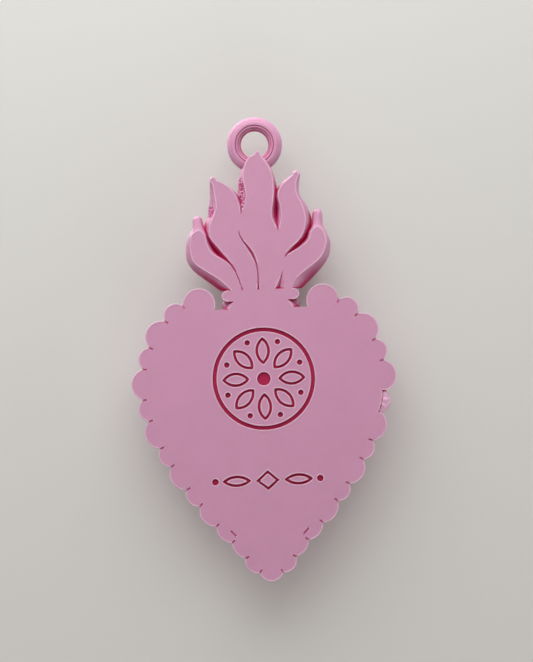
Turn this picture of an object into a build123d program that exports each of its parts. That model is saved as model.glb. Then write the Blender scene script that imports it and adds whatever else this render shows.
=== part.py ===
from build123d import *
from math import atan2, cos, degrees, radians, sin, sqrt
import os

# Milagro charm: a flat-backed heart with a scalloped rim, a collar, five flames and a hanging ring.
# Millimetres. The origin is the centre of the ring's hole. +Z runs up the charm to the ring, +X is to the
# right when the flat back is looked at, and +Y runs from the flat back to the raised front.

# Depths along Y
BACK_Y = -2.7  # flat back that every sculpted body is cut to
PLATE_THICKNESS = 4.0
DOME_HEIGHT = 6.5
ENGRAVING_DEPTH = 0.4

# Heart outline: on each side a round shoulder, then a long flank that leaves it smoothly and ends at the tip
SHOULDER_X = 5.2
SHOULDER_Z = -48.1
SHOULDER_RADIUS = 18.1
SHOULDER_START = 66.4  # degrees above +X, at the top lobe
SHOULDER_END = -29.3
TIP_Z = -85.1
TOP_Z = -32.9  # level edge of the heart between its two top lobes
TOP_HALF_WIDTH = 9.8
PLATE_START = 58.0  # degrees above +X, where the plate's edge leaves the shoulder for the top
PLATE_MARGIN = 0.5  # how far the plate reaches past the line of lobe centres

# Rim lobes, counted from the top of each side down to the tip
LARGE_LOBE_RADIUS = 3.2
SMALL_LOBE_RADIUS = 2.4
SMALL_LOBES = (1, 3, 5, 7, 9, 13)
SHOULDER_STEPS = 6
FLANK_STEPS = (4.8, 4.8, 4.75, 4.65, 4.7, 4.45, 3.95)
LOBE_OUTSET = (-0.2, 0.55, 0, 0.1, 0, 0, 0, 0.7, 0.4, 0.85, 0.15, -0.3, -0.5, 0.8)  # from the lobe line
LOBE_WALL = 0.8  # straight wall under each lobe's dome
SHORT_LOBE = ("right", 5)  # this lobe stops short of the flat back
SHORT_LOBE_GAP = 0.7

# Shallow slits in the flat back: one in each notch between two lobes, and one on each side near the tip
SLIT_WIDTH = 0.32
SLIT_DEPTH = 0.25
NOTCH_SLIT_LENGTH = 1.2
NOTCH_SLIT_INSIDE = 0.8  # how much of it lies inside the notch
TIP_SLIT = (7.25, -77.7)
TIP_SLIT_ANGLE = 47.5  # degrees
TIP_SLIT_LENGTH = 1.7

# Raised front of the heart: two drop shapes side by side
DROP_X = 6.2
DROP_Z = -49.5
DROP_RADIUS = 15.8
DROP_TIP_Z = -83.4
DROP_FLANK_START = 62.0  # degrees from the drop's axis to where its round head ends

# Neck, collar and bead row, each an oval in a level plane (half width along X, half depth along Y)
NECK_TOP_Z = -31.3
NECK_TOP = (6.7, 4.4)
NECK_FOOT = (7.9, 4.8)
NECK_ROOT_Z = -37.0
NECK_ROOT = (8.2, 3.4)
COLLAR_TOP_Z = -29.1
COLLAR = (7.75, 8.3)  # about a middle on the flat back, where the collar is widest
COLLAR_BULGE = 1.4  # how far its middle stands out past its top and bottom
COLLAR_ANGLES = (-90, -65, -40, -15, 15, 40, 65, 90)  # degrees round its edge, where its bands end
BEAD_RADIUS = 0.8
BEAD_Z = -32.0
BEAD_ROW = (7.2, 4.6)
BEAD_COUNT = 13
BEAD_FIRST_ANGLE = -12.0  # degrees, just behind the widest place of the neck

# Hanging ring
RING_RADIUS = 4.1
RING_TUBE_RADIUS = 1.45
RING_BORE_RADIUS = 2.75
BORE_CLEAR_FROM_Y = -1.5  # the bore stays free from here to the front

# Flames: each is a round horn, given by level slices from its foot to its tip. A slice has its height Z, the
# X of the horn's middle line, the horn's radius, and how far behind the flat back the middle line lies. Where
# the radius is more than that depth, the flat back cuts the horn. The tip is rounded past the last slice.
BANDS_PER_SLICE = 3
TIP_ANGLES = (30, 60, 85)  # degrees round the tip, where its bands end
FLAME_CENTRE = (
    (-30.0, 1.2, 3.1, 2.85),
    (-25.0, 2.3, 3.9, 3.0),
    (-21.5, 2.0, 4.4, 3.1),
    (-18.0, 0.3, 5.0, 3.1),
    (-14.5, -0.25, 4.2, 2.8),
    (-10.5, 0.65, 3.6, 2.35),
    (-6.5, 0.35, 3.4, 1.7),
    (-4.0, 0.15, 2.45, 1.2),
    (-2.7, 0.1, 1.5, 0.75),
    (-2.05, 0.5, 0.6, 0.3),
)
FLAME_INNER_LEFT = (
    (-30.0, -1.9, 2.8, 2.55),
    (-25.0, -2.65, 3.45, 2.75),
    (-22.0, -4.25, 3.9, 2.95),
    (-19.0, -6.3, 4.15, 3.0),
    (-17.5, -6.85, 4.1, 2.85),
    (-15.5, -6.35, 4.4, 3.15),
    (-12.5, -5.85, 3.4, 2.45),
    (-9.4, -6.5, 2.25, 1.15),
    (-7.8, -7.5, 1.45, 0.8),
    (-6.95, -8.6, 0.75, 0.4),
)
FLAME_INNER_RIGHT = (
    (-25.0, 3.5, 1.8, 1.65),
    (-21.8, 4.4, 2.8, 2.55),
    (-19.0, 6.1, 3.8, 2.9),
    (-16.0, 7.1, 3.9, 2.95),
    (-13.0, 7.0, 3.15, 2.2),
    (-10.5, 6.2, 2.5, 1.6),
    (-8.6, 6.5, 2.1, 1.5),
    (-7.3, 7.35, 1.4, 1.1),
    (-6.45, 8.05, 0.85, 0.6),
)
FLAME_OUTER_LEFT = (
    (-30.0, -4.2, 2.6, 2.5),
    (-27.0, -6.15, 4.5, 4.15),
    (-25.0, -8.0, 5.1, 4.3),
    (-23.3, -9.8, 4.5, 3.2),
    (-21.5, -11.45, 3.25, 2.45),
    (-19.5, -12.0, 2.5, 1.85),
    (-17.8, -12.0, 1.9, 1.35),
    (-16.5, -11.9, 1.25, 1.4),
    (-14.9, -12.05, 1.0, 1.5),
)
FLAME_OUTER_RIGHT = (
    (-30.0, 5.4, 2.0, 1.94),
    (-27.0, 6.1, 4.6, 4.4),
    (-25.0, 7.35, 5.3, 4.6),
    (-23.0, 8.65, 5.35, 3.8),
    (-21.0, 10.8, 3.6, 2.5),
    (-19.5, 11.8, 2.5, 1.75),
    (-17.9, 11.85, 1.8, 1.3),
    (-16.6, 11.95, 1.15, 1.35),
    (-14.4, 12.05, 1.0, 1.5),
)

# Side tongues, which stay clear of the flat back: one along the centre flame, one along the inner left flame
TONGUE_CENTRE = (
    (-17.0, -2.6, 1.6, 2.6),
    (-13.5, -2.5, 1.6, 2.5),
    (-10.0, -2.1, 1.65, 2.4),
    (-7.0, -1.9, 1.6, 2.2),
    (-5.4, -2.1, 1.0, 2.0),
)
TONGUE_INNER_LEFT = (
    (-16.0, -8.1, 1.9, 2.8),
    (-13.0, -8.1, 1.7, 2.5),
    (-10.5, -8.0, 1.4, 2.2),
    (-8.5, -8.4, 0.95, 1.7),
    (-7.4, -8.8, 0.5, 1.2),
)

# Engraving: a rosette in the upper heart and a row of leaves below it
ROSETTE_Z = -47.0
ROSETTE_RING = (10.3, 9.4)
ROSETTE_EYE_RADIUS = 1.4
PETAL_COUNT = 8
PETAL_FROM = 2.8
PETAL_TO = 8.4
PETAL_WIDTH = 3.0
STROKE = 0.65  # width of the line round a petal, a leaf and the lozenge
ROSETTE_DOT_RADIUS = 0.6
ROSETTE_DOT_CIRCLE = 7.9
BAND_Z = -67.3
LOZENGE = (5.0, 4.2)
LEAF_LENGTH = 6.0
LEAF_WIDTH = 2.4
LEAF_X = 6.2
BAND_DOT_RADIUS = 0.7
BAND_DOT_X = 10.5

back_plane = Plane.XZ.offset(-BACK_Y)
os.makedirs("parts", exist_ok=True)


def save(builder, name):
    """Labels a finished piece and writes it to its own file."""
    builder.part.label = name
    export_step(builder.part, f"parts/{name}.step")


def heart_side(margin, start):
    """Draws one side of the heart from an angle on its shoulder, at a distance outside the lobe centres.

    Returns its shoulder arc and its flank arc.
    """
    shoulder = CenterArc(
        (SHOULDER_X, SHOULDER_Z), SHOULDER_RADIUS + margin, start, SHOULDER_END - start
    )
    flank = TangentArc(shoulder @ 1, (0, TIP_Z - margin), tangent=shoulder % 1)
    return shoulder, flank


def leaf(length, width):
    """Draws the line round a pointed leaf along X, about the middle of the current location."""
    with BuildSketch() as shape:
        with BuildLine():
            ThreePointArc((-length / 2, 0), (0, width / 2), (length / 2, 0))
            ThreePointArc((length / 2, 0), (0, -width / 2), (-length / 2, 0))
        make_face()
        offset(amount=-STROKE, mode=Mode.SUBTRACT)
    return shape.sketch


# Heart outline, seen on the flat back
with BuildSketch(back_plane) as heart_outline:
    with BuildLine():
        edge_shoulder = heart_side(PLATE_MARGIN, PLATE_START)[0]
        Polyline((0, TOP_Z), (TOP_HALF_WIDTH, TOP_Z), edge_shoulder @ 0)
        mirror(about=Plane.YZ)
    make_face()

petal = leaf(PETAL_TO - PETAL_FROM, PETAL_WIDTH)
band_leaf = leaf(LEAF_LENGTH, LEAF_WIDTH)
with BuildSketch() as lozenge:
    Polygon((LOZENGE[0] / 2, 0), (0, LOZENGE[1] / 2), (-LOZENGE[0] / 2, 0), (0, -LOZENGE[1] / 2))
    offset(amount=-STROKE, mode=Mode.SUBTRACT)

# Places of the rim lobes on the right side
with BuildLine() as lobe_line:
    path_shoulder, path_flank = heart_side(0, SHOULDER_START)
lobe_places = [(path_shoulder, step / SHOULDER_STEPS) for step in range(SHOULDER_STEPS + 1)]
travelled = 0
for flank_step in FLANK_STEPS:
    travelled += flank_step
    lobe_places.append((path_flank, travelled / path_flank.length))
lobe_centres = []
for (edge, share), outset in zip(lobe_places, LOBE_OUTSET):
    along = edge % share
    lobe_centres.append(edge @ share + Vector(-along.Y, along.X) * outset)
lobe_radii = [
    SMALL_LOBE_RADIUS if number in SMALL_LOBES else LARGE_LOBE_RADIUS
    for number in range(len(lobe_centres))
]
tip_centre = Vector(0, TIP_Z)


def shared_chord(centre, radius, other, other_radius):
    """Returns the direction from one lobe to another and how far along it their circles cross."""
    reach = other - centre
    distance = (reach.length**2 + radius**2 - other_radius**2) / (2 * reach.length)
    return reach.normalized(), distance


# Slits, cut into the plate and the lobes
right_lobes = list(zip(lobe_centres, lobe_radii)) + [(tip_centre, SMALL_LOBE_RADIUS)]
with BuildPart() as slits:
    with BuildSketch(back_plane):
        for sign in (-1, 1):
            with Locations(Location((sign * TIP_SLIT[0], TIP_SLIT[1]), sign * TIP_SLIT_ANGLE)):
                SlotOverall(TIP_SLIT_LENGTH, SLIT_WIDTH)
            for (centre, radius), (other, other_radius) in zip(right_lobes, right_lobes[1:]):
                towards, distance = shared_chord(centre, radius, other, other_radius)
                outward = Vector(-towards.Y, towards.X)
                from_chord = sqrt(radius**2 - distance**2) - NOTCH_SLIT_INSIDE + NOTCH_SLIT_LENGTH / 2
                middle = centre + towards * distance + outward * from_chord
                slant = degrees(atan2(outward.Y, sign * outward.X))
                with Locations(Location((sign * middle.X, middle.Y), slant)):
                    SlotOverall(NOTCH_SLIT_LENGTH, SLIT_WIDTH)
    extrude(amount=-SLIT_DEPTH)

# Flat back of the heart, with its engraving
with BuildPart() as heart_back_plate:
    extrude(heart_outline.sketch, amount=-PLATE_THICKNESS)
    with BuildSketch(back_plane):
        with Locations((0, ROSETTE_Z)):
            Circle(ROSETTE_RING[0])
            Circle(ROSETTE_RING[1], mode=Mode.SUBTRACT)
            Circle(ROSETTE_EYE_RADIUS)
            with PolarLocations((PETAL_FROM + PETAL_TO) / 2, PETAL_COUNT):
                add(petal)
            with PolarLocations(ROSETTE_DOT_CIRCLE, PETAL_COUNT, start_angle=180 / PETAL_COUNT):
                Circle(ROSETTE_DOT_RADIUS)
        with Locations((0, BAND_Z)):
            add(lozenge.sketch)
        with Locations((-LEAF_X, BAND_Z), (LEAF_X, BAND_Z)):
            add(band_leaf)
        with Locations((-BAND_DOT_X, BAND_Z), (BAND_DOT_X, BAND_Z)):
            Circle(BAND_DOT_RADIUS)
    extrude(amount=-ENGRAVING_DEPTH, mode=Mode.SUBTRACT)
    add(slits.part, mode=Mode.SUBTRACT)
save(heart_back_plate, "heart_back_plate")

# Raised front: half a drop turned about its own axis, flattened, cut at the middle and mirrored
plate_front_y = BACK_Y + PLATE_THICKNESS
drop_axis = Axis((DROP_X, plate_front_y, DROP_Z), (-DROP_X, 0, DROP_TIP_Z - DROP_Z))
drop_plane = Plane(drop_axis.position, x_dir=drop_axis.direction, z_dir=(0, -1, 0))
drop_length = Vector(DROP_X, DROP_TIP_Z - DROP_Z).length
with BuildPart() as heart_dome:
    with BuildSketch(drop_plane):
        with BuildLine():
            head = CenterArc((0, 0), DROP_RADIUS, 180, DROP_FLANK_START - 180)
            TangentArc(head @ 1, (drop_length, 0), tangent=head % 1)
            Line((drop_length, 0), (-DROP_RADIUS, 0))
        make_face()
    revolve(axis=drop_axis.reverse(), revolution_arc=180)
    scale(by=(1, DOME_HEIGHT / DROP_RADIUS, 1), about=(0, plate_front_y, 0))
    split(bisect_by=Plane.YZ, keep=Keep.TOP)
    mirror(about=Plane.YZ)
save(heart_dome, "heart_dome")


def rim_lobe(name, centre, radius, neighbours, gap=0):
    """Makes one lobe: a domed button, cut to the plate, to each neighbour and by the slits."""
    with BuildPart() as lobe:
        with BuildSketch(back_plane):
            with Locations(centre):
                Circle(radius)
            add(heart_outline.sketch, mode=Mode.SUBTRACT)
            for other, other_radius in neighbours:
                towards, distance = shared_chord(centre, radius, other, other_radius)
                chord = centre + towards * distance
                with Locations(Location((chord.X, chord.Y), degrees(atan2(towards.Y, towards.X)))):
                    Rectangle(
                        2 * radius, 4 * radius, align=(Align.MIN, Align.CENTER), mode=Mode.SUBTRACT
                    )
        extrude(amount=-(LOBE_WALL + radius))
        with BuildSketch(Plane((centre.X, BACK_Y, centre.Y), x_dir=(1, 0, 0), z_dir=(0, 0, 1))):
            with BuildLine():
                Polyline((0, gap), (radius, gap), (radius, LOBE_WALL))
                CenterArc((0, LOBE_WALL), radius, 0, 90)
                Line((0, LOBE_WALL + radius), (0, gap))
            make_face()
        revolve(axis=Axis((centre.X, BACK_Y, centre.Y), (0, 1, 0)), mode=Mode.INTERSECT)
        add(slits.part, mode=Mode.SUBTRACT)
    save(lobe, name)


for side, sign in (("left", -1), ("right", 1)):
    centres = [Vector(sign * point.X, point.Y) for point in lobe_centres] + [tip_centre]
    radii = lobe_radii + [SMALL_LOBE_RADIUS]
    for number in range(len(lobe_centres)):
        beside = [number + 1] if number == 0 else [number - 1, number + 1]
        rim_lobe(
            f"rim_lobe_{side}_{number + 1:02d}",
            centres[number],
            radii[number],
            [(centres[other], radii[other]) for other in beside],
            SHORT_LOBE_GAP if (side, number) == SHORT_LOBE else 0,
        )
last = lobe_centres[-1]
rim_lobe(
    "rim_lobe_tip",
    tip_centre,
    SMALL_LOBE_RADIUS,
    [(Vector(sign * last.X, last.Y), lobe_radii[-1]) for sign in (-1, 1)],
)

# Neck: an oval stem that widens down into the heart
with BuildPart() as neck:
    for level, oval in ((NECK_TOP_Z, NECK_TOP), (TOP_Z, NECK_FOOT), (NECK_ROOT_Z, NECK_ROOT)):
        with BuildSketch(Plane.XY.offset(level)):
            Ellipse(*oval)
    loft()
    split(bisect_by=back_plane, keep=Keep.BOTTOM)
    extrude(heart_outline.sketch, amount=-PLATE_THICKNESS, mode=Mode.SUBTRACT)
    add(heart_dome.part, mode=Mode.SUBTRACT)
save(neck, "neck")

# Collar: an oval lip with a bulging edge
collar_middle_z = (COLLAR_TOP_Z + NECK_TOP_Z) / 2
collar_half_height = (COLLAR_TOP_Z - NECK_TOP_Z) / 2
with BuildPart() as collar:
    for angle in COLLAR_ANGLES:
        inset = COLLAR_BULGE * (1 - cos(radians(angle)))
        with BuildSketch(Plane.XY.offset(collar_middle_z + collar_half_height * sin(radians(angle)))):
            with Locations((0, BACK_Y)):
                Ellipse(COLLAR[0] - inset, COLLAR[1] - inset)
    loft(ruled=True)
    split(bisect_by=back_plane, keep=Keep.BOTTOM)
save(collar, "collar")

# Beads: a row round the front of the neck, close under the collar
with BuildLine(Plane.XY.offset(BEAD_Z)) as bead_line:
    bead_arc = EllipticalCenterArc(
        (0, 0), *BEAD_ROW, start_angle=BEAD_FIRST_ANGLE, arc_size=180 - 2 * BEAD_FIRST_ANGLE
    )
with BuildPart() as collar_beads:
    with Locations(*[bead_arc @ (bead / (BEAD_COUNT - 1)) for bead in range(BEAD_COUNT)]):
        Sphere(BEAD_RADIUS)
    add(neck.part, mode=Mode.SUBTRACT)
    add(collar.part, mode=Mode.SUBTRACT)
    add(heart_back_plate.part, mode=Mode.SUBTRACT)
    add(heart_dome.part, mode=Mode.SUBTRACT)
save(collar_beads, "collar_beads")

# Hanging ring: a round ring with a narrow straight land inside its hole
with BuildPart() as hanging_ring:
    with BuildSketch(Plane.XY):
        with Locations((RING_RADIUS, 0)):
            Circle(RING_TUBE_RADIUS)
        Rectangle(2 * RING_BORE_RADIUS, 4 * RING_TUBE_RADIUS, mode=Mode.SUBTRACT)
    revolve(axis=Axis.Y)
save(hanging_ring, "hanging_ring")


def smooth_slice(slices, position):
    """Returns the slice at a position counted in slices, on a smooth curve through all of them."""
    first = min(int(position), len(slices) - 2)
    share = position - first
    nearest = [slices[min(max(first + step, 0), len(slices) - 1)] for step in (-1, 0, 1, 2)]
    return [
        start + share * (stop - before) / 2
        + share**2 * (before - 2.5 * start + 2 * stop - after / 2)
        + share**3 * (1.5 * (start - stop) + (after - before) / 2)
        for before, start, stop, after in zip(*nearest)
    ]


def horn(slices, tongue=None):
    """Lofts a whole horn through its slices, with a round tip past the last one, and joins its tongue."""
    spans = (len(slices) - 1) * BANDS_PER_SLICE
    rows = [smooth_slice(slices, band / BANDS_PER_SLICE) for band in range(spans + 1)]
    level, middle_x, radius, depth = slices[-1]
    for angle in TIP_ANGLES:
        rounded = radius * cos(radians(angle))
        rows.append((level + radius * sin(radians(angle)), middle_x, rounded, depth))
    with BuildPart() as body:
        for level, middle_x, radius, depth in rows:
            with BuildSketch(Plane((0, 0, level))):
                with Locations((middle_x, BACK_Y + depth)):
                    Circle(radius)
        loft(ruled=True)
        if tongue:
            add(horn(tongue))
    return body.part


def flame(name, body, cutters):
    """Cuts a horn to the bodies that it grows against, to the collar's top and to the flat back."""
    with BuildPart() as cut_horn:
        add(body)
        for cutter in cutters:
            add(cutter, mode=Mode.SUBTRACT)
        split(bisect_by=Plane.XY.offset(COLLAR_TOP_Z), keep=Keep.TOP)
        split(bisect_by=back_plane, keep=Keep.BOTTOM)
    save(cut_horn, name)


with BuildPart() as bore_clearance:
    with Locations(Plane((0, BORE_CLEAR_FROM_Y, 0), x_dir=(1, 0, 0), z_dir=(0, 1, 0))):
        Cylinder(RING_BORE_RADIUS, RING_RADIUS * 2, align=(Align.CENTER, Align.CENTER, Align.MIN))

centre_horn = horn(FLAME_CENTRE, TONGUE_CENTRE)
inner_left_horn = horn(FLAME_INNER_LEFT, TONGUE_INNER_LEFT)
inner_right_horn = horn(FLAME_INNER_RIGHT)
flame("flame_centre", centre_horn, [hanging_ring.part, bore_clearance.part])
flame("flame_inner_left", inner_left_horn, [centre_horn])
flame("flame_inner_right", inner_right_horn, [centre_horn])
flame("flame_outer_left", horn(FLAME_OUTER_LEFT), [centre_horn, inner_left_horn])
flame("flame_outer_right", horn(FLAME_OUTER_RIGHT), [centre_horn, inner_right_horn])
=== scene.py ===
import logging
import math
from dataclasses import dataclass, field
from enum import Enum
from typing import Any, Iterable

import bmesh
import bpy
from mathutils import Matrix, Vector, noise
from mathutils.bvhtree import BVHTree


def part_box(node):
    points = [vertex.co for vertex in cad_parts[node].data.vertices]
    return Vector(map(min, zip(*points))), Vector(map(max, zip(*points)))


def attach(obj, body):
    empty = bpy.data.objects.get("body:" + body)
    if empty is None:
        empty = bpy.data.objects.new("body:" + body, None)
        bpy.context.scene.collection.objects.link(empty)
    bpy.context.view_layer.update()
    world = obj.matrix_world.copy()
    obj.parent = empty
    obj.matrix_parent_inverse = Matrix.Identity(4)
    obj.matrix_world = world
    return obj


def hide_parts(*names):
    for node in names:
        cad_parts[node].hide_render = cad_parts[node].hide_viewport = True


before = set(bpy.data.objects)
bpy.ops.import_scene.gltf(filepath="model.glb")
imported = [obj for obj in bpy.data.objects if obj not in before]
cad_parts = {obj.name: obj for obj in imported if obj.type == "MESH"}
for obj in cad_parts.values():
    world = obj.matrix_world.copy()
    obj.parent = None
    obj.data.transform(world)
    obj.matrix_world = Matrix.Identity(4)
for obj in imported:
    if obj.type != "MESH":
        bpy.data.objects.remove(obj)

# Looks of a flat-backed heart charm, printed in pink plastic. Everything is in metres, in the frame of the
# solids: +Z runs up to the hanging ring, +X is to the right when the flat back is looked at, and the flat
# back faces -Y. The photograph looks straight at the flat back of the charm, which lies face down on a pale
# table.

MM = 0.001
BODY = "root"
BACK_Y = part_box("heart_back_plate")[0].y  # the flat back that every body of the charm is cut to
FRONT_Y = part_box("heart_dome")[1].y  # the highest place of the raised front
SMALL = 0.02 * MM  # heights nearer than this count as one, and rays start this far off a surface
WELD = 0.001 * MM  # corners nearer than this are one corner
SHARP = math.radians(34)  # an edge that turns more than this stays sharp
GOLDEN_TURN = math.pi * (3 - math.sqrt(5))  # turn from one ray to the next that spreads rays evenly
NOISE_RANGE = (0.3, 0.7)  # between these lie most values of the noise texture
GROOVE_SHADE = "groove"  # attribute of painted shade, from how closed in a place is: 0 in the open, 1 deep in a groove

log = logging.getLogger("charm")


class Side(Enum):
    """The two sides of the charm, as seen on the flat back."""

    LEFT = "left"
    RIGHT = "right"


def linear(hex_colour: str) -> tuple[float, float, float, float]:
    """Turns an sRGB hex colour into a linear colour.

    Args:
        hex_colour: Six hex digits after a hash sign.

    Returns:
        Red, green, blue and an alpha of 1.
    """
    parts = [int(hex_colour[place : place + 2], 16) / 255 for place in (1, 3, 5)]
    red, green, blue = (p / 12.92 if p <= 0.04045 else ((p + 0.055) / 1.055) ** 2.4 for p in parts)
    return red, green, blue, 1.0


def add_node(
    tree: bpy.types.NodeTree, kind: str, inputs: dict[str | int, Any] | None = None, **settings: Any
) -> bpy.types.Node:
    """Adds a node to a tree, sets its properties and fills or links its inputs.

    Args:
        tree: A shader or geometry node tree.
        kind: The node's type name.
        inputs: A value or an output socket for each named or numbered input.
        **settings: The node's own properties.

    Returns:
        The new node.
    """
    node = tree.nodes.new(kind)
    for name, value in settings.items():
        setattr(node, name, value)
    for key, value in (inputs or {}).items():
        if isinstance(key, str):
            socket = next(item for item in node.inputs if item.enabled and item.name == key)
        else:
            socket = node.inputs[key]
        if isinstance(value, bpy.types.NodeSocket):
            tree.links.new(value, socket)
        else:
            socket.default_value = value
    return node


def empty_material(name: str) -> bpy.types.Material:
    """Makes a material whose node tree is empty.

    Args:
        name: The material's name.

    Returns:
        The new material.
    """
    made = bpy.data.materials.new(name)
    made.use_nodes = True
    made.node_tree.nodes.clear()
    return made


@dataclass(frozen=True)
class PrintedPla:
    """PLA, FDM-printed: matte and slightly silky, with the lines of its first layer and of its layers, and
    painted shade where it is closed in.

    Attributes:
        name: The material's name.
        colour: The plastic's colour.
        roughness: Of the bare surface.
        ior: Refractive index, which sets how strong the soft shine is.
        line_pitch: Distance of the first layer's lines, which a 0.4 mm nozzle lays.
        line_angle: Direction of those lines, in degrees from +X on the flat back.
        layer: Height of a layer as drawn. A real one is 0.2 mm, which is one pixel of the photograph, so it
            is drawn twice as coarse.
        line_tint: How much the lines change the colour.
        line_relief: Height of the lines.
        layer_relief: Height of the layers' edges.
        mottle_size: Width of the slow mottling.
        mottle_tint: How much the mottling changes the colour.
        mottle_detail: Steps of finer mottling in it.
        flat_range: Where the normal's Y starts to count as that of the flat back, and where it fully does.
        groove_shade_tones: Painted shade: how closed in a place is where a tone starts and where it is full,
            and the tone. It stands in for light that leaves a groove after going through the plastic more
            than once, which is a strong raspberry.
        glow: Share of light that goes through the plastic at walls and rounded places.
        glow_reach: How far red, green and blue get there.
    """

    name: str
    colour: str
    roughness: float = 0.55
    ior: float = 1.46
    line_pitch: float = 0.49 * MM
    line_angle: float = 42.0
    layer: float = 0.4 * MM
    line_tint: float = 0.02
    line_relief: float = 0.006 * MM
    layer_relief: float = 0.03 * MM
    mottle_size: float = 6 * MM
    mottle_tint: float = 0.02
    mottle_detail: float = 3.0
    flat_range: tuple[float, float] = (-0.9, -0.99)
    groove_shade_tones: tuple[tuple[float, float, str], ...] = ((0.12, 0.6, "#BC2F6C"), (0.5, 0.95, "#D4054D"))
    glow: float = 0.0
    glow_reach: tuple[float, float, float] = (1.2 * MM, 0.3 * MM, 0.5 * MM)

    def material(self) -> bpy.types.Material:
        """Builds the material from Object coordinates.

        Returns:
            The new material.
        """
        made = empty_material(self.name)
        tree = made.node_tree
        place = add_node(tree, "ShaderNodeTexCoord")
        split_place = add_node(tree, "ShaderNodeSeparateXYZ", {0: place.outputs["Object"]})
        split_normal = add_node(tree, "ShaderNodeSeparateXYZ", {0: place.outputs["Normal"]})

        # 1 on the flat back, 0 on walls and on the raised front
        start, full = self.flat_range
        flat = add_node(
            tree, "ShaderNodeMapRange", {0: split_normal.outputs["Y"], 1: start, 2: full, 3: 0.0, 4: 1.0}
        ).outputs[0]
        angle = math.radians(self.line_angle)
        across = add_node(
            tree,
            "ShaderNodeVectorMath",
            {0: place.outputs["Object"], 1: (-math.sin(angle), 0.0, math.cos(angle))},
            operation="DOT_PRODUCT",
        ).outputs["Value"]
        waves = []
        for distance, pitch in ((across, self.line_pitch), (split_place.outputs["Y"], self.layer)):
            turns = add_node(
                tree, "ShaderNodeMath", {0: distance, 1: math.tau / pitch}, operation="MULTIPLY"
            )
            wave = add_node(tree, "ShaderNodeMath", {0: turns.outputs[0]}, operation="SINE")
            waves.append(wave.outputs[0])
        lines = add_node(tree, "ShaderNodeMath", {0: waves[0], 1: flat}, operation="MULTIPLY").outputs[0]
        walls = add_node(tree, "ShaderNodeMath", {0: 1.0, 1: flat}, operation="SUBTRACT").outputs[0]
        layers = add_node(tree, "ShaderNodeMath", {0: waves[1], 1: walls}, operation="MULTIPLY").outputs[0]

        # Slow mottling of the plastic, a few millimetres wide
        mottle = add_node(
            tree,
            "ShaderNodeTexNoise",
            {"Vector": place.outputs["Object"], "Scale": 1 / self.mottle_size, "Detail": self.mottle_detail},
        )
        both = add_node(tree, "ShaderNodeMath", {0: lines, 1: layers}, operation="ADD").outputs[0]
        tint = add_node(
            tree, "ShaderNodeMath", {0: both, 1: self.line_tint, 2: 1.0}, operation="MULTIPLY_ADD"
        ).outputs[0]
        low, high = NOISE_RANGE
        cloud = add_node(
            tree,
            "ShaderNodeMapRange",
            {0: mottle.outputs[0], 1: low, 2: high, 3: 1 - self.mottle_tint, 4: 1 + self.mottle_tint},
        ).outputs[0]
        value = add_node(tree, "ShaderNodeMath", {0: tint, 1: cloud}, operation="MULTIPLY").outputs[0]
        # Painted shade: walls that are closed in are mixed towards raspberry tones
        groove = add_node(tree, "ShaderNodeAttribute", attribute_name=GROOVE_SHADE).outputs["Fac"]
        plastic: Any = linear(self.colour)
        for near, deepest, tone in self.groove_shade_tones:
            deep = add_node(
                tree, "ShaderNodeMapRange", {0: groove, 1: near, 2: deepest}, interpolation_type="SMOOTHSTEP"
            )
            painted_shade = add_node(tree, "ShaderNodeMath", {0: deep.outputs[0], 1: walls}, operation="MULTIPLY")
            mixed = add_node(
                tree,
                "ShaderNodeMix",
                {"Factor": painted_shade.outputs[0], "A": plastic, "B": linear(tone)},
                data_type="RGBA",
            )
            plastic = next(out for out in mixed.outputs if out.enabled)
        colour = add_node(tree, "ShaderNodeVectorMath", {0: plastic, "Scale": value}, operation="SCALE")

        # Lines on the flat back and layers elsewhere, as one height
        line_height = add_node(
            tree, "ShaderNodeMath", {0: lines, 1: self.line_relief}, operation="MULTIPLY"
        ).outputs[0]
        height = add_node(
            tree,
            "ShaderNodeMath",
            {0: layers, 1: self.layer_relief, 2: line_height},
            operation="MULTIPLY_ADD",
        ).outputs[0]
        bump = add_node(tree, "ShaderNodeBump", {"Strength": 1.0, "Distance": 1.0, "Height": height})
        inputs = {
            "Base Color": colour.outputs[0],
            "Roughness": self.roughness,
            "IOR": self.ior,
            "Normal": bump.outputs[0],
        }
        if self.glow:
            glow = add_node(tree, "ShaderNodeMath", {0: walls, 1: self.glow}, operation="MULTIPLY")
            inputs |= {
                "Subsurface Weight": glow.outputs[0],
                "Subsurface Radius": self.glow_reach,
                "Subsurface Scale": 1.0,
            }
        shader = add_node(tree, "ShaderNodeBsdfPrincipled", inputs)
        add_node(tree, "ShaderNodeOutputMaterial", {"Surface": shader.outputs[0]})
        return made


# The bare print: a soft matte pink that glows a little where light gets through walls and rounded places
PINK = PrintedPla("PLA_FDM_printed_pink", "#CF94B4", glow=0.3)
# The outermost line of the first layer: a painted highlight, paler than the print, that stands for the
# bright rim along the edges, and slightly shinier
EDGE_HIGHLIGHT = PrintedPla("PLA_FDM_printed_outer_line_highlight", "#E4B9D0", roughness=0.45)
# The floor and walls of the engraving: painted shade of the recess, a deep raspberry that reads as a drawn
# line
RECESS_SHADE = PrintedPla("PLA_FDM_printed_recess_shade", "#B4124E", roughness=0.7)
# The short slits between the lobes: painted shade, a paler raspberry, since they are shallow
CREASE_SHADE = PrintedPla("PLA_FDM_printed_crease_shade", "#DC6E9E", roughness=0.7)
# Where a support was torn off: dull and darker
SCARRED = PrintedPla("PLA_FDM_printed_scarred", "#B84A84", roughness=0.8)
# Blobs of plastic that set in the air, on the rough lobe and the stubs: painted paler as painted light, so
# that they stay bright where they sit in shade, with a broad soft shine
BLOBBED_LIGHTENED = PrintedPla("PLA_FDM_printed_blobbed_lightened", "#E2AECB", roughness=0.6)


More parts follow.
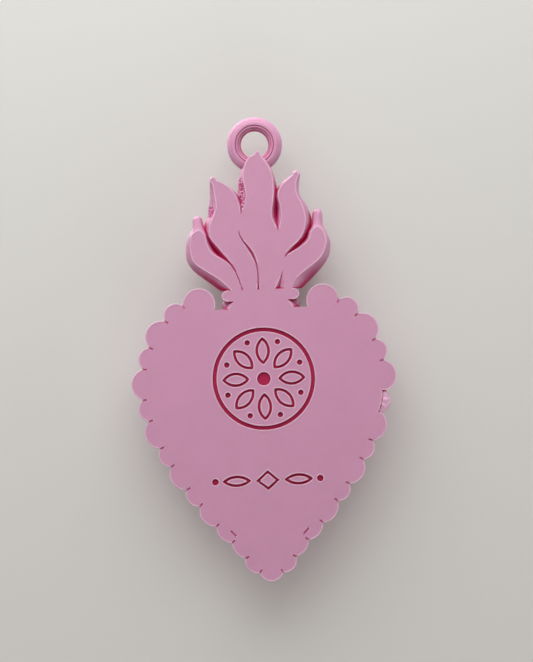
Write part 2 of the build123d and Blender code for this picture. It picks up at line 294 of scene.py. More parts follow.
class Finishes:
    """Makes each finish once and hands it out."""

    def __init__(self) -> None:
        """Starts with no material made."""
        self._made: dict[str, bpy.types.Material] = {}

    def __getitem__(self, finish: PrintedPla) -> bpy.types.Material:
        """Hands out a finish's material, which is made on its first use.

        Args:
            finish: The finish.

        Returns:
            Its material.
        """
        if finish.name not in self._made:
            self._made[finish.name] = finish.material()
        return self._made[finish.name]


FINISHES = Finishes()


def solid_copy(node: str) -> bmesh.types.BMesh:
    """Copies a solid's loose triangles into one closed mesh.

    Args:
        node: The name of the solid.

    Returns:
        The merged mesh.
    """
    mesh = bmesh.new()
    mesh.from_mesh(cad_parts[node].data)
    bmesh.ops.remove_doubles(mesh, verts=mesh.verts, dist=WELD)
    return mesh


def on_back(points: Iterable[bmesh.types.BMVert]) -> bool:
    """Says whether all points lie on the flat back."""
    return all(abs(point.co.y - BACK_Y) < SMALL for point in points)


@dataclass
class Grooves:
    """Measures how closed in the places of the charm are, which sets their painted shade.

    Attributes:
        rays: Rays sent from each place.
        reach: How far a ray looks for another wall.
        cell: Longest edge of a measured mesh.
        underside_shade: Painted shade that is added where a wall looks down, away from the light, which is
            redder in the photograph.
    """

    rays: int = 40
    reach: float = 8 * MM
    cell: float = MM
    underside_shade: float = 0.3

    def __post_init__(self) -> None:
        """Gathers all solids and a fixed fan of rays over the half sphere."""
        whole = bmesh.new()
        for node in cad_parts.values():
            whole.from_mesh(node.data)
        self._walls = BVHTree.FromBMesh(whole)
        whole.free()
        self._fan: list[Vector] = []
        for ray in range(self.rays):
            out = math.sqrt((ray + 0.5) / self.rays)
            turn = GOLDEN_TURN * ray
            self._fan.append(Vector((out * math.cos(turn), out * math.sin(turn), math.sqrt(1 - out**2))))

    def measure(self, mesh: bmesh.types.BMesh) -> None:
        """Divides a mesh into small cells and stores on its points how closed in they are.

        Args:
            mesh: The mesh, which is changed in place. Its measure, which sets its painted shade, is the
                share of rays that meet a wall, with a little more where it looks down.
        """
        while long_edges := [edge for edge in mesh.edges if edge.calc_length() > self.cell]:
            bmesh.ops.subdivide_edges(mesh, edges=long_edges, cuts=1)
        bmesh.ops.triangulate(mesh, faces=mesh.faces)
        mesh.normal_update()
        layer = mesh.verts.layers.float.new(GROOVE_SHADE)
        for vert in mesh.verts:
            turn = vert.normal.to_track_quat("Z", "Y")
            eye = vert.co + vert.normal * SMALL
            met = [self._walls.ray_cast(eye, turn @ ray, self.reach)[0] is not None for ray in self._fan]
            # Painted shade: the share of rays that meet a wall, and more where the wall looks down
            vert[layer] = sum(met) / self.rays + self.underside_shade * max(-vert.normal.z, 0.0)


GROOVES = Grooves()


@dataclass(frozen=True)
class Recesses:
    """What is cut into the flat back.

    Attributes:
        engraving_depth: Depth of the engraved design.
        slit_depth: Depth of the short slits between the lobes.
        finishes: The finishes of the bare surface and of the painted shade of the engraving and of the
            slits.
    """

    engraving_depth: float = 0.4 * MM
    slit_depth: float = 0.25 * MM
    finishes: tuple[PrintedPla, ...] = (PINK, RECESS_SHADE, CREASE_SHADE)

    def mark(self, mesh: bmesh.types.BMesh) -> None:
        """Numbers the faces of the engraving and of the slits by their place among the finishes, which paint
        their shade.

        Args:
            mesh: A body with a flat back, which is changed in place.
        """
        # Faces of the engraving and of the slits take painted shade
        for face in mesh.faces:
            depth = max(vert.co.y for vert in face.verts) - BACK_Y
            if SMALL < depth < self.slit_depth + SMALL:
                face.material_index = self.finishes.index(CREASE_SHADE)
            elif SMALL < depth < self.engraving_depth + SMALL:
                face.material_index = self.finishes.index(RECESS_SHADE)


def piece_from(name: str, mesh: bmesh.types.BMesh, finishes: Iterable[PrintedPla]) -> bpy.types.Object:
    """Makes a smooth-shaded piece, with sharp edges kept.

    Args:
        name: The piece's name.
        mesh: Its shape, which is used up.
        finishes: Its finishes, in the order of its faces' material numbers.

    Returns:
        The new object at the origin.
    """
    mesh.normal_update()
    for edge in mesh.edges:
        turned = edge.calc_face_angle(math.pi) > SHARP
        rim = on_back(edge.verts) and not all(on_back(face.verts) for face in edge.link_faces)
        edge.smooth = not (turned or rim)
    for face in mesh.faces:
        face.smooth = True
    data = bpy.data.meshes.new(name)
    mesh.to_mesh(data)
    mesh.free()
    made = bpy.data.objects.new(name, data)
    bpy.context.scene.collection.objects.link(made)
    for finish in finishes:
        data.materials.append(FINISHES[finish])
    return made


def keep(piece: bpy.types.Object, *nodes: str) -> None:
    """Puts a finished piece on the charm in place of its solids, and reports it.

    Args:
        piece: The piece.
        *nodes: The solids that it stands for, if any.
    """
    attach(piece, BODY)
    if nodes:
        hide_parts(*nodes)
    log.info("%s: %d faces", piece.name, len(piece.data.polygons))


class ShapeTree:
    """A geometry node tree with named inputs, which is run once and leaves a plain mesh."""

    def __init__(self, name: str, sizes: dict[str, float | int]) -> None:
        """Opens an empty tree.

        Args:
            name: The tree's name.
            sizes: Its named inputs and their values.
        """
        self.tree = bpy.data.node_groups.new(name, "GeometryNodeTree")
        self.values: dict[str, float | int] = {}
        panel = self.tree.interface
        panel.new_socket("Geometry", in_out="INPUT", socket_type="NodeSocketGeometry")
        panel.new_socket("Geometry", in_out="OUTPUT", socket_type="NodeSocketGeometry")
        for size, value in sizes.items():
            kind = "NodeSocketInt" if isinstance(value, int) else "NodeSocketFloat"
            socket = panel.new_socket(size, in_out="INPUT", socket_type=kind)
            self.values[socket.identifier] = value
        self.inputs = add_node(self.tree, "NodeGroupInput").outputs

    def node(self, kind: str, inputs: dict[str | int, Any] | None = None, **settings: Any) -> bpy.types.Node:
        """Adds a node to this tree, as add_node does."""
        return add_node(self.tree, kind, inputs, **settings)

    def finish(self, shape: bpy.types.NodeSocket, finish: PrintedPla) -> None:
        """Ends the tree in a realised, smooth shape with a material.

        Args:
            shape: The shape, which may still be made of instances.
            finish: Its finish.
        """
        real = self.node("GeometryNodeRealizeInstances", {0: shape})
        smooth = self.node("GeometryNodeSetShadeSmooth", {0: real.outputs[0]})
        dressed = self.node(
            "GeometryNodeSetMaterial", {"Geometry": smooth.outputs[0], "Material": FINISHES[finish]}
        )
        self.node("NodeGroupOutput", {0: dressed.outputs[0]})

    def run(self, name: str, start: bpy.types.Mesh | None = None) -> bpy.types.Object:
        """Runs the tree and keeps its result as a plain mesh.

        Args:
            name: The piece's name.
            start: The mesh that the tree starts from, where it needs one.

        Returns:
            The new object at the origin, with no modifier.
        """
        made = bpy.data.objects.new(name, start or bpy.data.meshes.new(name))
        bpy.context.scene.collection.objects.link(made)
        modifier = made.modifiers.new(name, "NODES")
        modifier.node_group = self.tree
        for identifier, value in self.values.items():
            modifier[identifier] = value
        result = made.evaluated_get(bpy.context.evaluated_depsgraph_get())
        data = bpy.data.meshes.new_from_object(result)
        made.modifiers.clear()
        made.data = data
        data.name = name
        return made


@dataclass
class HeartBody:
    """The heart itself: its flat engraved back and its raised front.

    Attributes:
        recesses: What is cut into its flat back.
    """

    recesses: Recesses = Recesses()

    def build(self) -> None:
        """Builds and dresses both pieces."""
        plate = solid_copy("heart_back_plate")
        self.recesses.mark(plate)
        keep(piece_from("heart_back", plate, self.recesses.finishes), "heart_back_plate")
        keep(piece_from("heart_front", solid_copy("heart_dome"), [PINK]), "heart_dome")


@dataclass
class ScallopedRim:
    """The lobes round the heart, one of which is rough and stops short of the flat back.

    Attributes:
        lobes_a_side: Lobes on each side, from the top down to the tip.
        short_lobe: The solid that stops short of the flat back.
        beside: The solids beside it.
        recesses: What is cut into the flat backs of the lobes.
        voxel: Size of the cells that the short lobe is rebuilt from.
        roughness: How far its surface is torn up or in.
        inset: How far the torn surface lies inside, as a share of its roughness.
        grain: Size of its lumps.
        rise: How far its middle swells towards the flat back.
        slump: How far its edges sink below its middle.
        crevice: Nearer than this to the bodies beside it, it takes the painted shade of a groove.
    """

    lobes_a_side: int = 14
    short_lobe: str = "rim_lobe_right_06"
    beside: tuple[str, ...] = ("heart_back_plate", "rim_lobe_right_05", "rim_lobe_right_07")
    recesses: Recesses = Recesses()
    voxel: float = 0.12 * MM
    roughness: float = 0.2 * MM
    inset: float = 0.1
    grain: float = 0.7 * MM
    rise: float = 0.7 * MM
    slump: float = 0.35 * MM
    crevice: float = 0.35 * MM

    def build(self) -> None:
        """Builds and dresses every lobe."""
        nodes = [f"rim_lobe_{side.value}_{n:02d}" for side in Side for n in range(1, self.lobes_a_side + 1)]
        for node in [*nodes, "rim_lobe_tip"]:
            name = node.replace("rim_lobe", "lobe")
            if node == self.short_lobe:
                # Painted light: the rough lobe is painted paler, so that it stays bright in the shade of the
                # bodies beside it
                keep(piece_from(name, self.torn(node), [BLOBBED_LIGHTENED]), node)
                continue
            mesh = solid_copy(node)
            self.recesses.mark(mesh)
            keep(piece_from(name, mesh, self.recesses.finishes), node)

    def torn(self, node: str) -> bmesh.types.BMesh:
        """Rebuilds a lobe as small cells and roughens its surface.

        Args:
            node: The lobe's solid.

        Returns:
            The rough mesh.
        """
        base = solid_copy(node)
        data = bpy.data.meshes.new(node + "_cells")
        base.to_mesh(data)
        base.free()
        cells = bpy.data.objects.new(node + "_cells", data)
        bpy.context.scene.collection.objects.link(cells)
        remesh = cells.modifiers.new("cells", "REMESH")
        remesh.mode = "VOXEL"
        remesh.voxel_size = self.voxel
        rough = bmesh.new()
        rough.from_object(cells, bpy.context.evaluated_depsgraph_get())
        bpy.data.objects.remove(cells)
        rough.normal_update()
        low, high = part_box(node)
        middle, half = (low + high) / 2, (high - low) / 2
        layer = rough.verts.layers.float.new(GROOVE_SHADE)
        walls = []
        for other in self.beside:
            solid = solid_copy(other)
            walls.append(BVHTree.FromBMesh(solid))
            solid.free()
        for vert in rough.verts:
            gap = min(wall.find_nearest(vert.co)[3] for wall in walls)
            # Painted shade where it comes near the bodies beside it
            vert[layer] = max(0.0, 1 - gap / self.crevice)
            off = vert.co - middle
            edge = min(1.0, math.hypot(off.x / half.x, off.z / half.z)) ** 2
            back = max(0.0, -off.y / half.y)
            vert.co += vert.normal * (noise.noise(vert.co / self.grain) - self.inset) * self.roughness
            vert.co.y += (self.slump * edge - self.rise) * back
        return rough


@dataclass
class Collar:
    """The neck, the collar on it and the row of beads under the collar.

    Attributes:
        bead_count: Beads in the row.
        bead_radius: Radius of a bead.
        row_half_width: Half width of the oval that the beads stand on.
        row_half_depth: Its half depth.
        row_z: Its height.
        first_angle: Where the row starts, from +X.
        arc_steps: Steps of the oval line that the beads are laid along.
        segments: Faces round a bead.
        rings: Faces from pole to pole of a bead.
    """

    bead_count: int = 13
    bead_radius: float = 0.8 * MM
    row_half_width: float = 7.2 * MM
    row_half_depth: float = 4.6 * MM
    row_z: float = -32.0 * MM
    first_angle: float = math.radians(-12)
    arc_steps: int = 256
    segments: int = 32
    rings: int = 20

    def build(self) -> None:
        """Builds and dresses the pieces."""
        for node in ("neck", "collar"):
            mesh = solid_copy(node)
            # Stores the painted shade of grooves on the mesh
            GROOVES.measure(mesh)
            keep(piece_from(node + "_shell", mesh, [PINK]), node)
        keep(self.beads(), "collar_beads")

    def beads(self) -> bpy.types.Object:
        """Lays the beads round the front of the neck.

        Returns:
            The row as one piece.
        """
        row = ShapeTree(
            "bead_row",
            {
                "Count": self.bead_count,
                "Bead radius": self.bead_radius,
                "Half width": self.row_half_width,
                "Half depth": self.row_half_depth,
                "Height": self.row_z,
                "First angle": self.first_angle,
                "Sweep": math.pi - 2 * self.first_angle,
            },
        )
        sizes = row.inputs
        arc = row.node(
            "GeometryNodeCurveArc",
            {
                "Resolution": self.arc_steps,
                "Radius": 1.0,
                "Start Angle": sizes["First angle"],
                "Sweep Angle": sizes["Sweep"],
            },
        )
        oval = row.node("ShaderNodeCombineXYZ", {0: sizes["Half width"], 1: sizes["Half depth"], 2: 1.0})
        lift = row.node("ShaderNodeCombineXYZ", {2: sizes["Height"]})
        line = row.node(
            "GeometryNodeTransform",
            {0: arc.outputs[0], "Scale": oval.outputs[0], "Translation": lift.outputs[0]},
        )
        even = row.node("GeometryNodeResampleCurve", {"Curve": line.outputs[0], "Count": sizes["Count"]})
        bead = row.node(
            "GeometryNodeMeshUVSphere",
            {"Segments": self.segments, "Rings": self.rings, "Radius": sizes["Bead radius"]},
        )
        laid = row.node(
            "GeometryNodeInstanceOnPoints", {"Points": even.outputs[0], "Instance": bead.outputs[0]}
        )
        row.finish(laid.outputs[0], PINK)
        return row.run("bead_row")


@dataclass(frozen=True)
class Scar:
    """A torn place on a flame's flank, where a support was broken off.

    Attributes:
        low: Its lowest X, Y and Z.
        high: Its highest X, Y and Z.
        stubs: Stubs on a square metre.
        stub_size: Radius of the largest stub.
        seed: Seed of the stubs' places and turns.
        thinnest: Least share of the radius that a stub has along each axis.
        thickest: Greatest share.
        subdivisions: How finely a stub's ball is divided.
        front_limit: Faces whose normal's Y is above this look to the front and stay whole.
    """

    low: Vector
    high: Vector
    stubs: float
    stub_size: float
    seed: int
    thinnest: tuple[float, float, float] = (0.2, 0.3, 0.2)
    thickest: tuple[float, float, float] = (0.7, 1.3, 0.7)
    subdivisions: int = 2
    front_limit: float = 0.5

    def holds(self, face: bmesh.types.BMFace) -> bool:
        """Says whether a face lies in the torn place and looks outwards or to the back.

        Args:
            face: A face of the flame.

        Returns:
            True where the face is torn.
        """
        spot = face.calc_center_median() - (self.low + self.high) / 2
        half = (self.high - self.low) / 2
        inside = sum((off / size) ** 2 for off, size in zip(spot, half)) < 1
        return inside and face.normal.y < self.front_limit and not on_back(face.verts)


@dataclass
class FlameCrown:
    """The five flames above the collar, three of them with scars.

    Attributes:
        names: The flames.
        finishes: The finishes of the whole and of the torn faces.
        scars: The torn place of a flame, where it has one.
    """

    names: tuple[str, ...] = ("centre", "inner_left", "inner_right", "outer_left", "outer_right")
    finishes: tuple[PrintedPla, ...] = (PINK, SCARRED)
    scars: dict[str, Scar] = field(
        default_factory=lambda: {
            "centre": Scar(
                Vector((-4.8, -3.2, -14.2)) * MM, Vector((-1.5, 1.0, -6.6)) * MM, 9.0 / MM**2, 0.26 * MM, 3
            ),
            "inner_left": Scar(
                Vector((-10.6, -3.2, -14.4)) * MM, Vector((-8.5, 0.2, -12.0)) * MM, 5.0 / MM**2, 0.2 * MM, 8
            ),
            "outer_right": Scar(
                Vector((3.8, -2.8, -29.4)) * MM, Vector((6.8, 0.4, -25.8)) * MM, 5.0 / MM**2, 0.18 * MM, 5
            ),
        }
    )

    def build(self) -> None:
        """Builds and dresses the flames."""
        for name in self.names:
            mesh = solid_copy("flame_" + name)
            # Stores the painted shade of grooves on the mesh
            GROOVES.measure(mesh)
            scar = self.scars.get(name)
            if scar:
                mesh.normal_update()
                torn = [face for face in mesh.faces if scar.holds(face)]
                for face in torn:
                    face.material_index = self.finishes.index(SCARRED)
                self.stubs(name, torn, scar)
            keep(piece_from("flame_body_" + name, mesh, self.finishes), "flame_" + name)

    @staticmethod
    def stubs(name: str, torn: list[bmesh.types.BMFace], scar: Scar) -> None:
        """Scatters rough stubs over a torn place.

        Args:
            name: The flame.
            torn: Its torn faces.
            scar: Their scar.
        """
        corners = [vert.co.copy() for face in torn for vert in face.verts]
        faces = [(3 * place, 3 * place + 1, 3 * place + 2) for place in range(len(torn))]
        patch = bpy.data.meshes.new("scar_" + name)
        patch.from_pydata(corners, [], faces)
        inputs = {"Density": scar.stubs, "Stub size": scar.stub_size, "Seed": scar.seed}
        tree = ShapeTree("scar_" + name, inputs)
        sizes = tree.inputs
        points = tree.node(
            "GeometryNodeDistributePointsOnFaces",
            {"Mesh": sizes["Geometry"], "Density": sizes["Density"], "Seed": sizes["Seed"]},
        )
        turn = tree.node(
            "FunctionNodeRandomValue",
            {0: (0.0, 0.0, 0.0), 1: (math.tau,) * 3, "Seed": sizes["Seed"]},
            data_type="FLOAT_VECTOR",
        )
        shape = tree.node(
            "FunctionNodeRandomValue",
            {0: scar.thinnest, 1: scar.thickest, "Seed": scar.seed + 1},
            data_type="FLOAT_VECTOR",
        )
        stub = tree.node(
            "GeometryNodeMeshIcoSphere", {"Radius": sizes["Stub size"], "Subdivisions": scar.subdivisions}
        )
        laid = tree.node(
            "GeometryNodeInstanceOnPoints",
            {
                "Points": points.outputs["Points"],
                "Instance": stub.outputs[0],
                "Rotation": turn.outputs[0],
                "Scale": shape.outputs[0],
            },
        )
        # Painted light: the stubs are painted paler
        tree.finish(laid.outputs[0], BLOBBED_LIGHTENED)
        keep(tree.run("scar_" + name, patch))


@dataclass
class HangingRing:
    """The ring at the top, with the steps of its printed layers.

    Attributes:
        radius: From the ring's centre to the middle of its tube.
        tube_radius: Radius of the tube.
        bore_radius: Radius of the straight land inside the hole.
        layer: Height of a layer, drawn twice as coarse as the real 0.2 mm so that it shows.
        groove: Depth of the groove between two layers.
        lips_at: Where two deeper grooves run round the hole, from the middle of the tube towards the hole.
        lip_width: Half width of those grooves.
        lip_depth: Their depth.
        lip_shade: Painted shade of those grooves, as how closed in they are, from 0 to 1.
        hole_shade: Painted shade of the wall of the hole, as how closed in it is, from 0 to 1.
        steps: Steps round the ring.
        points: Points round the tube.
    """

    radius: float = 4.1 * MM
    tube_radius: float = 1.45 * MM
    bore_radius: float = 2.75 * MM
    layer: float = 0.4 * MM
    groove: float = 0.08 * MM
    lips_at: tuple[float, float] = (0.3 * MM, 0.95 * MM)
    lip_width: float = 0.1 * MM
    lip_depth: float = 0.25 * MM
    lip_shade: float = 0.6
    hole_shade: float = 0.5
    steps: int = 160
    points: int = 240

    def build(self) -> None:
        """Builds and dresses the ring."""
        ring = ShapeTree("swept_ring", {"Radius": self.radius, "Steps": self.steps})
        path = ring.node(
            "GeometryNodeCurvePrimitiveCircle",
            {"Resolution": ring.inputs["Steps"], "Radius": ring.inputs["Radius"]},
        )
        upright = ring.node("GeometryNodeTransform", {0: path.outputs[0], "Rotation": (math.pi / 2, 0, 0)})
        section = ring.node("GeometryNodeMeshToCurve", {0: ring.inputs["Geometry"]})
        swept = ring.node(
            "GeometryNodeCurveToMesh", {"Curve": upright.outputs[0], "Profile Curve": section.outputs[0]}
        )
        ring.finish(swept.outputs[0], PINK)
        piece = ring.run("ring", self.section())
        turn_out(piece.data)
        keep(piece, "hanging_ring")

    def section(self) -> bpy.types.Mesh:
        """Draws the tube's section: layers that bulge, two deeper grooves on the back and a straight land.

        Returns:
            A closed line, with how closed in each of its points is, which sets its painted shade.
        """
        spots, closed = [], []
        for point in range(self.points):
            angle = math.tau * point / self.points
            out, deep = math.cos(angle), math.sin(angle)
            gap = 1 - math.sqrt(abs(math.sin(math.pi * deep * self.tube_radius / self.layer)))
            from_lips = [(out * self.tube_radius + at) / self.lip_width for at in self.lips_at]
            lips = sum(math.exp(-(off**2)) for off in from_lips) if deep < 0 else 0.0
            tube = self.tube_radius - self.groove * gap - self.lip_depth * lips
            wide = max(out * tube, self.bore_radius - self.radius)
            spots.append((wide, deep * tube, 0.0))
            # Painted shade in the lip grooves and on the wall of the hole
            closed.append(max(self.lip_shade * lips, self.hole_shade * max(0.0, -out)))
        data = bpy.data.meshes.new("ring_section")
        data.from_pydata(spots, [(point, (point + 1) % self.points) for point in range(self.points)], [])
        data.attributes.new(GROOVE_SHADE, "FLOAT", "POINT").data.foreach_set("value", closed)
        return data


def turn_out(data: bpy.types.Mesh) -> None:
    """Makes the faces of a closed mesh point outwards.

    Args:
        data: The mesh, which is changed in place.
    """
    mesh = bmesh.new()
    mesh.from_mesh(data)
    bmesh.ops.recalc_face_normals(mesh, faces=mesh.faces)
    mesh.to_mesh(data)
    mesh.free()


@dataclass
class OuterLine:
    """The outermost line of the first layer, a thread along the free edges of the flat back, painted pale as
    a highlight.

    Attributes:
        radius: Radius of the thread.
        step: Length of its straight steps.
        sides: Sides of its section.
        slit: Where another body is nearer than this, the edge is a seam or a slit and has no thread.
        touch: Just outside the edge, where a body that shares the edge is found.
        look: From how far behind and how far through the flat back it is looked for.
        sunk: How far the thread's middle lies inside the edge.
    """

    radius: float = 0.13 * MM
    step: float = 0.15 * MM
    sides: int = 8
    slit: float = 0.45 * MM
    touch: float = 0.04 * MM
    look: float = MM
    sunk: float = 0.07 * MM

    def build(self, nodes: Iterable[str]) -> None:
        """Runs a thread along the free edges of the given solids.

        Args:
            nodes: The solids whose flat backs have the thread.
        """
        solids = {node: solid_copy(node) for node in nodes}
        walls = [BVHTree.FromBMesh(solid) for solid in solids.values()]
        points: list[Vector] = []
        lines: list[tuple[int, int]] = []
        for solid in solids.values():
            numbers: dict[int, int] = {}
            for edge in solid.edges:
                flats = [face for face in edge.link_faces if on_back(face.verts)]
                if len(flats) != 1 or len(edge.link_faces) != 2 or not self.free(edge, flats[0], walls):
                    continue
                inward = self.inward(edge, flats[0])
                for vert in edge.verts:
                    if vert.index not in numbers:
                        numbers[vert.index] = len(points)
                        points.append(vert.co + inward * self.sunk + Vector((0, self.sunk, 0)))
                lines.append(tuple(numbers[vert.index] for vert in edge.verts))
            solid.free()
        data = bpy.data.meshes.new("outer_line")
        data.from_pydata(points, lines, [])
        thread = ShapeTree("outer_line", {"Radius": self.radius, "Step": self.step, "Sides": self.sides})
        path = thread.node("GeometryNodeMeshToCurve", {0: thread.inputs["Geometry"]})
        even = thread.node(
            "GeometryNodeResampleCurve",
            {"Curve": path.outputs[0], "Length": thread.inputs["Step"]},
            mode="LENGTH",
        )
        section = thread.node(
            "GeometryNodeCurvePrimitiveCircle",
            {"Resolution": thread.inputs["Sides"], "Radius": thread.inputs["Radius"]},
        )
        tube = thread.node(
            "GeometryNodeCurveToMesh",
            {"Curve": even.outputs[0], "Profile Curve": section.outputs[0], "Fill Caps": True},
        )
        # Painted highlight: the thread is paler than the print
        thread.finish(tube.outputs[0], EDGE_HIGHLIGHT)
        keep(thread.run("outer_line", data))

    @staticmethod
    def inward(edge: bmesh.types.BMEdge, flat: bmesh.types.BMFace) -> Vector:
        """Finds the direction from an edge into its flat face.

        Args:
            edge: An edge of the flat back.
            flat: The edge's face on the flat back.

        Returns:
            A direction of length 1, along the flat back.
        """
        along = (edge.verts[1].co - edge.verts[0].co).normalized()
        side = along.cross(Vector((0, 1, 0)))
        middle = (edge.verts[0].co + edge.verts[1].co) / 2
        return side if side.dot(flat.calc_center_median() - middle) > 0 else -side

    def free(self, edge: bmesh.types.BMEdge, flat: bmesh.types.BMFace, walls: list[BVHTree]) -> bool:
        """Says whether nothing else of the flat back is close outside an edge.

        Args:
            edge: An edge of the flat back.
            flat: The edge's face on the flat back.
            walls: All bodies that have a flat back.

        Returns:
            True where the edge is free.
        """
        middle = (edge.verts[0].co + edge.verts[1].co) / 2
        outward = -self.inward(edge, flat)
        for reach in (self.touch, self.slit):
            eye = middle + outward * reach - Vector((0, self.look, 0))
            for wall in walls:
                hit = wall.ray_cast(eye, Vector((0, 1, 0)), 2 * self.look)[0]
                if hit and abs(hit.y - BACK_Y) < SMALL:
                    return False
        return True


@dataclass(frozen=True)
class Lamp:
    """A square soft lamp that points at the charm.

    Attributes:
        name: Its name.
        place: Where it hangs.
        size: Length of its sides.
        power: In watts.
    """

    name: str
    place: tuple[float, float, float]
    size: float
    power: float


@dataclass
class Stage:
    """The pale table that the charm lies on, a floor, the lamps and the camera.

    Attributes:
        photo: Width and height of the photograph, in pixels.
        pixels_per_mm: At the flat back.
        centre: X and Z of the flat back's point at the middle of the photograph.
        lean: How far the charm leans to the left in the photograph, in degrees.
        distance: From the camera to the flat back.
        clip: Nothing nearer to the camera than this is seen.
        table_gap: From the raised front to the table.
        floor_z: Height of the floor, well below the charm.
        table_half: Half size of the table.
        floor_half: Half size of the floor.
        floor_seen: How much paler than its light the floor is to the eye.
        table_colour: The table's colour.
        room_colour: The colour of the floor and the sky.
        haze: Share of the table's paint that the camera alone sees as a faint even light, so that shadows
            stay soft.
        haze_colour: The colour of that light, a trace of the charm's pink.
        sky_light: How strongly the sky lights the charm.
        sky_seen: How bright the sky is behind the charm.
        lamps: Windows and walls that light the flat back, and the last one the raised front.
    """

    photo: tuple[int, int] = (533, 662)
    pixels_per_mm: float = 5.0
    centre: tuple[float, float] = (0.92 * MM, -37.47 * MM)
    lean: float = 2.3
    distance: float = 500 * MM
    clip: float = 10 * MM
    table_gap: float = 0.1 * MM
    floor_z: float = -500 * MM
    table_half: float = 200 * MM
    floor_half: float = 8.0
    floor_seen: float = 0.5
    table_colour: str = "#DADCD7"
    room_colour: str = "#DCDBD8"
    haze: float = 0.16
    haze_colour: str = "#D2BABD"
    sky_light: float = 0.34
    sky_seen: float = 1.1
    lamps: tuple[Lamp, ...] = (
        Lamp("left_window", (-0.16, -0.16, 0.12), 0.3, 0.15),
        Lamp("top_window", (0.0, -0.12, 0.24), 0.35, 1.15),
        Lamp("ceiling", (0.0, -0.6, 0.2), 0.35, 0.36),
        Lamp("left_wall", (-0.3, -0.1, 0.3), 0.3, 0.34),
        Lamp("low_wall", (0.05, -0.06, -0.5), 0.3, 0.9),
        Lamp("right_wall", (0.45, -0.07, 0.0), 0.3, 0.32),
        Lamp("front_window", (-0.25, 0.45, 0.3), 0.4, 3.0),
    )

    def build(self) -> None:
        """Sets up everything that isn't the charm."""
        self.surfaces()
        for lamp in self.lamps:
            self.hang(lamp)
        self.sky()
        self.camera()
        bpy.context.scene.view_settings.view_transform = "Standard"

    @staticmethod
    def plane(name: str, place: Vector, right: Vector, up: Vector) -> bpy.types.Object:
        """Makes a large square.

        Args:
            name: Its name.
            place: Its middle.
            right: From its middle to its right side.
            up: From its middle to its upper side. The front is on the side of right x up.

        Returns:
            The new object.
        """
        corners = [place + right * a + up * b for a, b in ((-1, -1), (1, -1), (1, 1), (-1, 1))]
        data = bpy.data.meshes.new(name)
        data.from_pydata(corners, [], [(0, 1, 2, 3)])
        made = bpy.data.objects.new(name, data)
        bpy.context.scene.collection.objects.link(made)
        return made

    def surfaces(self) -> None:
        """Lays the table behind the charm and the floor below it."""
        wide, high = Vector((self.table_half, 0, 0)), Vector((0, 0, self.table_half))
        table_middle = Vector((0, FRONT_Y + self.table_gap, self.centre[1]))
        table = self.plane("table", table_middle, wide, high)
        table.data.materials.append(self.table_paint())
        wide, long = Vector((self.floor_half, 0, 0)), Vector((0, self.floor_half, 0))
        floor = self.plane("floor", Vector((0, 0, self.floor_z)), wide, long)
        floor.data.materials.append(self.floor_paint())

    def table_paint(self) -> bpy.types.Material:
        """Makes the table's matte paint, with its haze, which can be looked and lit through from behind.

        Returns:
            The new material.
        """
        made = empty_material("table_matte_paint")
        tree = made.node_tree
        path = add_node(tree, "ShaderNodeLightPath").outputs
        seen = path["Is Camera Ray"]
        dim = add_node(tree, "ShaderNodeMapRange", {0: seen, 3: 1.0, 4: 1.0 - self.haze})
        colour = add_node(
            tree,
            "ShaderNodeVectorMath",
            {0: linear(self.table_colour)[:3], "Scale": dim.outputs[0]},
            operation="SCALE",
        )
        matte = add_node(tree, "ShaderNodeBsdfDiffuse", {"Color": colour.outputs[0]})
        faint = add_node(tree, "ShaderNodeMapRange", {0: seen, 4: self.haze})
        haze = add_node(
            tree, "ShaderNodeEmission", {"Color": linear(self.haze_colour), "Strength": faint.outputs[0]}
        )
        paint = add_node(tree, "ShaderNodeAddShader", {0: matte.outputs[0], 1: haze.outputs[0]})

        # Clear to the eye from behind, and to light that falls straight on what the eye sees
        behind = add_node(tree, "ShaderNodeNewGeometry").outputs["Backfacing"]
        first = add_node(tree, "ShaderNodeMath", {0: path["Diffuse Depth"], 1: 0.5}, operation="LESS_THAN")
        shadow = add_node(
            tree, "ShaderNodeMath", {0: path["Is Shadow Ray"], 1: first.outputs[0]}, operation="MULTIPLY"
        )
        through = add_node(tree, "ShaderNodeMath", {0: behind, 1: shadow.outputs[0]}, operation="MAXIMUM")
        clear = add_node(tree, "ShaderNodeBsdfTransparent")
        mixed = add_node(
            tree, "ShaderNodeMixShader", {0: through.outputs[0], 1: paint.outputs[0], 2: clear.outputs[0]}
        )
        add_node(tree, "ShaderNodeOutputMaterial", {"Surface": mixed.outputs[0]})
        return made

    def floor_paint(self) -> bpy.types.Material:
        """Makes the floor's matte paint, which the camera sees as pale without more light on the charm.

        Returns:
            The new material.
        """
        made = empty_material("floor_matte_paint")
        tree = made.node_tree
        paint = add_node(tree, "ShaderNodeBsdfDiffuse", {"Color": linear(self.room_colour)})
        path = add_node(tree, "ShaderNodeLightPath").outputs
        seen = add_node(tree, "ShaderNodeMapRange", {0: path["Is Camera Ray"], 4: self.floor_seen})
        pale = add_node(
            tree, "ShaderNodeEmission", {"Color": linear(self.room_colour), "Strength": seen.outputs[0]}
        )
        both = add_node(tree, "ShaderNodeAddShader", {0: paint.outputs[0], 1: pale.outputs[0]})
        add_node(tree, "ShaderNodeOutputMaterial", {"Surface": both.outputs[0]})
        return made

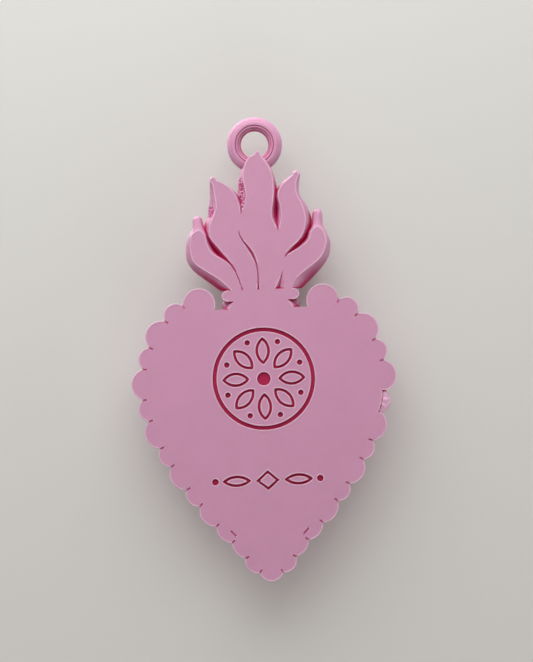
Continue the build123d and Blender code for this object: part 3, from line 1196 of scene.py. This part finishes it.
    def hang(self, lamp: Lamp) -> None:
        """Hangs a lamp and points it at the charm.

        Args:
            lamp: The lamp.
        """
        light = bpy.data.lights.new(lamp.name, "AREA")
        light.size = lamp.size
        light.energy = lamp.power
        made = bpy.data.objects.new(lamp.name, light)
        made.location = lamp.place
        made.rotation_mode = "QUATERNION"
        aim = Vector((0, 0, self.centre[1])) - made.location
        made.rotation_quaternion = aim.to_track_quat("-Z", "Y")
        bpy.context.scene.collection.objects.link(made)

    def sky(self) -> None:
        """Lights the charm from a pale sky, which the camera sees brighter than it lights."""
        world = bpy.data.worlds.new("pale_room")
        world.use_nodes = True
        tree = world.node_tree
        tree.nodes.clear()
        seen = add_node(tree, "ShaderNodeLightPath").outputs["Is Camera Ray"]
        strength = add_node(tree, "ShaderNodeMapRange", {0: seen, 3: self.sky_light, 4: self.sky_seen})
        sky = add_node(
            tree,
            "ShaderNodeBackground",
            {"Color": linear(self.room_colour), "Strength": strength.outputs[0]},
        )
        add_node(tree, "ShaderNodeOutputWorld", {"Surface": sky.outputs[0]})
        bpy.context.scene.world = world

    def camera(self) -> None:
        """Places the camera straight over the flat back, as the photograph was taken."""
        lens = bpy.data.cameras.new("camera")
        long_side = max(self.photo) / self.pixels_per_mm * MM
        lens.lens = lens.sensor_width * self.distance / long_side
        lens.clip_start = self.clip
        made = bpy.data.objects.new("camera", lens)
        lean = math.radians(self.lean)
        right = Vector((math.cos(lean), 0, -math.sin(lean)))
        up = Vector((math.sin(lean), 0, math.cos(lean)))
        turned = Matrix((right, up, Vector((0, -1, 0)))).transposed()
        place = Vector((self.centre[0], BACK_Y - self.distance, self.centre[1]))
        made.matrix_world = Matrix.Translation(place) @ turned.to_4x4()
        bpy.context.scene.collection.objects.link(made)
        bpy.context.scene.camera = made


def main() -> None:
    """Builds the charm piece by piece, then the stage."""
    logging.basicConfig(level=logging.INFO, format="%(message)s")
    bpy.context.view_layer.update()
    round_backed = ("heart_dome", "hanging_ring", "collar_beads")
    flat_backed = [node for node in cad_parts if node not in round_backed]
    HeartBody().build()
    ScallopedRim().build()
    Collar().build()
    FlameCrown().build()
    HangingRing().build()
    OuterLine().build(flat_backed)
    Stage().build()


if __name__ == "__main__":
    main()
